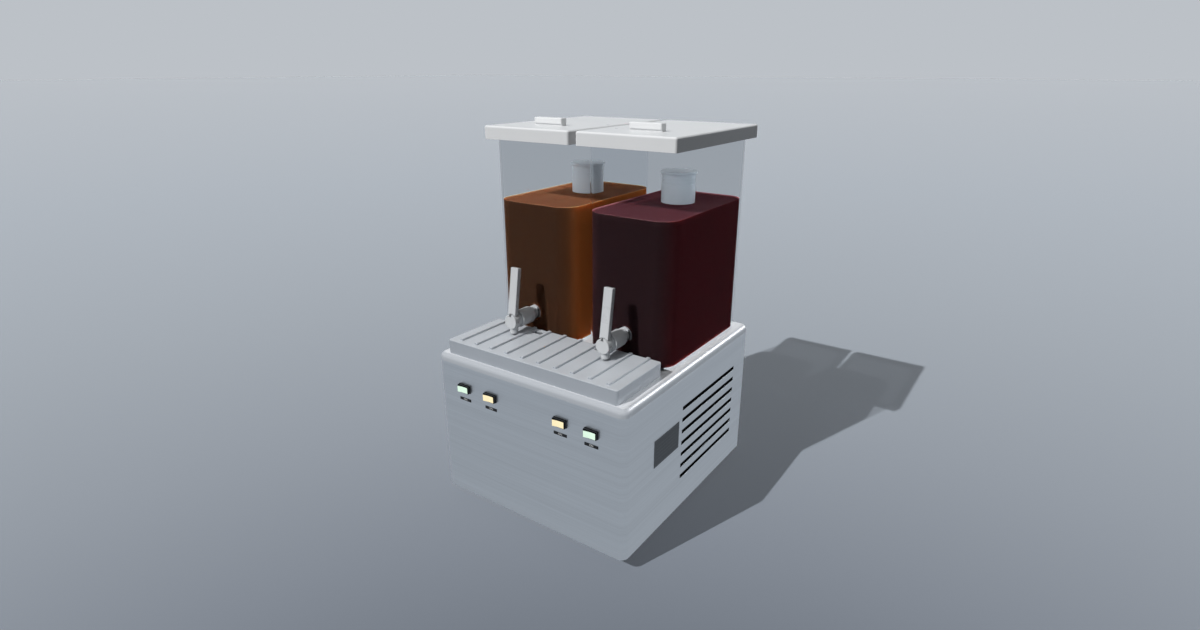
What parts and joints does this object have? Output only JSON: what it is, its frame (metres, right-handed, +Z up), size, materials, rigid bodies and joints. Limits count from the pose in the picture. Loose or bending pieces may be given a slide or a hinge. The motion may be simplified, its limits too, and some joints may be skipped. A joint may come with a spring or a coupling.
{
  "type": "refrigerated juice dispenser",
  "caption": "Refrigerated juice dispenser: steel cabinet with louvred sides, clear lift-off bowls with lids, stirrers and lever taps, lit rocker switches and a ribbed drip tray.",
  "frame": {"origin": "on the floor, under the middle of the whole object", "axes": "+Z up, front with the taps and switches towards -Y, +X to the right seen from the front"},
  "size_m": [0.4106, 0.4768, 0.713],
  "materials": {
    "brushed_steel": "brushed along its length, satin",
    "deck_steel": "satin pressed steel",
    "pan_steel": "zinc grey",
    "screw_steel": "plain",
    "plate_dark": "dark satin, bare",
    "rubber_dark": "matt",
    "seal_grey": "matt silicone",
    "black_plastic": "fine grain",
    "lens_green": "lit lens",
    "lens_yellow": "lit lens",
    "tray_plastic": "satin light grey",
    "bowl_clear": "clear, polished",
    "lid_white": "satin off-white",
    "evaporator_steel": "polished stainless",
    "stirrer_plastic": "satin light grey",
    "tap_plastic": "satin light grey",
    "pin_steel": "ground",
    "copper": "drawn copper tube",
    "compressor_black": "black enamel",
    "motor_grey": "grey enamel",
    "fin_aluminium": "bright fins",
    "fan_plastic": "moulded",
    "juice_orange": "clear orange juice, shown only",
    "juice_red": "clear red juice, shown only",
    "label_dark": "thin dark label, shown only",
    "label_print": "pale print, shown only"
  },
  "bodies": {
    "cabinet": {"cabinet_wrap": "brushed_steel", "top_deck": "deck_steel", "base_pan": "pan_steel", "rear_panel": "brushed_steel", "rear_screws": "screw_steel", "rear_bumpers": "rubber_dark", "feet": "rubber_dark", "rating_plate": "plate_dark", "switch_bezels": "black_plastic", "power_inlet": "black_plastic", "compressor": "compressor_black", "compressor_grommets": "rubber_dark", "condenser": "fin_aluminium", "fan_shroud": "pan_steel", "fan_motor": "motor_grey", "filter_drier": "copper", "discharge_line": "copper", "liquid_line": "copper", "capillaries": "copper", "suction_lines": "copper", "control_box": "black_plastic", "evaporator_left": "evaporator_steel", "evaporator_coil_left": "copper", "stirrer_motor_left": "motor_grey", "evaporator_right": "evaporator_steel", "evaporator_coil_right": "copper", "stirrer_motor_right": "motor_grey"},
    "fan": {"fan_blade": "fan_plastic"},
    "drip_tray": {"drip_pan": "tray_plastic", "drip_grille": "tray_plastic"},
    "stir_rocker_left": {"stir_rocker_left": "lens_green"},
    "cool_rocker_left": {"cool_rocker_left": "lens_yellow"},
    "cool_rocker_right": {"cool_rocker_right": "lens_yellow"},
    "stir_rocker_right": {"stir_rocker_right": "lens_green"},
    "bowl_left": {"bowl_left": "bowl_clear", "bowl_gasket_left": "seal_grey", "tap_body_left": "tap_plastic", "tap_gasket_left": "seal_grey", "tap_nut_left": "tap_plastic", "lever_pin_left": "pin_steel", "tap_spring_left": "pin_steel"},
    "lid_left": {"lid_left": "lid_white", "lid_handle_left": "lid_white"},
    "lever_left": {"tap_lever_left": "tap_plastic"},
    "plunger_left": {"tap_plunger_left": "stirrer_plastic"},
    "stirrer_left": {"stirrer_left": "stirrer_plastic"},
    "drive_left": {"drive_rotor_left": "pin_steel"},
    "bowl_right": {"bowl_right": "bowl_clear", "bowl_gasket_right": "seal_grey", "tap_body_right": "tap_plastic", "tap_gasket_right": "seal_grey", "tap_nut_right": "tap_plastic", "lever_pin_right": "pin_steel", "tap_spring_right": "pin_steel"},
    "lid_right": {"lid_right": "lid_white", "lid_handle_right": "lid_white"},
    "lever_right": {"tap_lever_right": "tap_plastic"},
    "plunger_right": {"tap_plunger_right": "stirrer_plastic"},
    "stirrer_right": {"stirrer_right": "stirrer_plastic"},
    "drive_right": {"drive_rotor_right": "pin_steel"}
  },
  "joints": [
    {"name": "fan_spin", "type": "hinge", "parent": "cabinet", "child": "fan", "pos_m": [0.1395, 0.0625, 0.1355], "axis": [1, 0, 0], "continuous": true},
    {"name": "drip_tray_slide", "type": "slide", "parent": "cabinet", "child": "drip_tray", "axis": [0, -1, 0], "range_m": [0, 0.15]},
    {"name": "stir_rocker_left_press", "type": "hinge", "parent": "cabinet", "child": "stir_rocker_left", "pos_m": [-0.1405, -0.229, 0.2513], "axis": [0, 0, -1], "range_deg": [0, 10]},
    {"name": "cool_rocker_left_press", "type": "hinge", "parent": "cabinet", "child": "cool_rocker_left", "pos_m": [-0.0776, -0.229, 0.2513], "axis": [0, 0, -1], "range_deg": [0, 10]},
    {"name": "cool_rocker_right_press", "type": "hinge", "parent": "cabinet", "child": "cool_rocker_right", "pos_m": [0.0776, -0.229, 0.2513], "axis": [0, 0, -1], "range_deg": [0, 10]},
    {"name": "stir_rocker_right_press", "type": "hinge", "parent": "cabinet", "child": "stir_rocker_right", "pos_m": [0.1405, -0.229, 0.2513], "axis": [0, 0, -1], "range_deg": [0, 10]},
    {"name": "bowl_left_lift", "type": "slide", "parent": "cabinet", "child": "bowl_left", "axis": [0, 0, 1], "range_m": [0, 0.33]},
    {"name": "lid_left_lift", "type": "slide", "parent": "bowl_left", "child": "lid_left", "axis": [0, 0, 1], "range_m": [0, 0.2]},
    {"name": "lever_left_pull", "type": "hinge", "parent": "bowl_left", "child": "lever_left", "pos_m": [-0.10165, -0.13775, 0.361], "axis": [1, 0, 0], "range_deg": [0, 30], "stiffness_Nm_per_rad": 0.5, "springref_deg": -11.46},
    {"name": "plunger_left_slide", "type": "slide", "parent": "bowl_left", "child": "plunger_left", "axis": [0, 1, 0], "range_m": [0, 0.0029], "deforming": ["tap_spring_left"]},
    {"name": "drive_left_spin", "type": "hinge", "parent": "cabinet", "child": "drive_left", "pos_m": [-0.10165, 0.0995, 0.3085], "axis": [0, 0, 1], "continuous": true},
    {"name": "stirrer_left_spin", "type": "hinge", "parent": "cabinet", "child": "stirrer_left", "pos_m": [-0.10165, 0.0995, 0.3085], "axis": [0, 0, 1], "continuous": true},
    {"name": "bowl_right_lift", "type": "slide", "parent": "cabinet", "child": "bowl_right", "axis": [0, 0, 1], "range_m": [0, 0.33]},
    {"name": "lid_right_lift", "type": "slide", "parent": "bowl_right", "child": "lid_right", "axis": [0, 0, 1], "range_m": [0, 0.2]},
    {"name": "lever_right_pull", "type": "hinge", "parent": "bowl_right", "child": "lever_right", "pos_m": [0.10165, -0.13775, 0.361], "axis": [1, 0, 0], "range_deg": [0, 30], "stiffness_Nm_per_rad": 0.5, "springref_deg": -11.46},
    {"name": "plunger_right_slide", "type": "slide", "parent": "bowl_right", "child": "plunger_right", "axis": [0, 1, 0], "range_m": [0, 0.0029], "deforming": ["tap_spring_right"]},
    {"name": "drive_right_spin", "type": "hinge", "parent": "cabinet", "child": "drive_right", "pos_m": [0.10165, 0.0995, 0.3085], "axis": [0, 0, 1], "continuous": true},
    {"name": "stirrer_right_spin", "type": "hinge", "parent": "cabinet", "child": "stirrer_right", "pos_m": [0.10165, 0.0995, 0.3085], "axis": [0, 0, 1], "continuous": true}
  ],
  "couplings": [
    {"joint": "plunger_left_slide", "follows": "lever_left_pull", "m_per_rad": 0.0054},
    {"joint": "stirrer_left_spin", "follows": "drive_left_spin", "ratio": 1},
    {"joint": "plunger_right_slide", "follows": "lever_right_pull", "m_per_rad": 0.0054},
    {"joint": "stirrer_right_spin", "follows": "drive_right_spin", "ratio": 1}
  ]
}
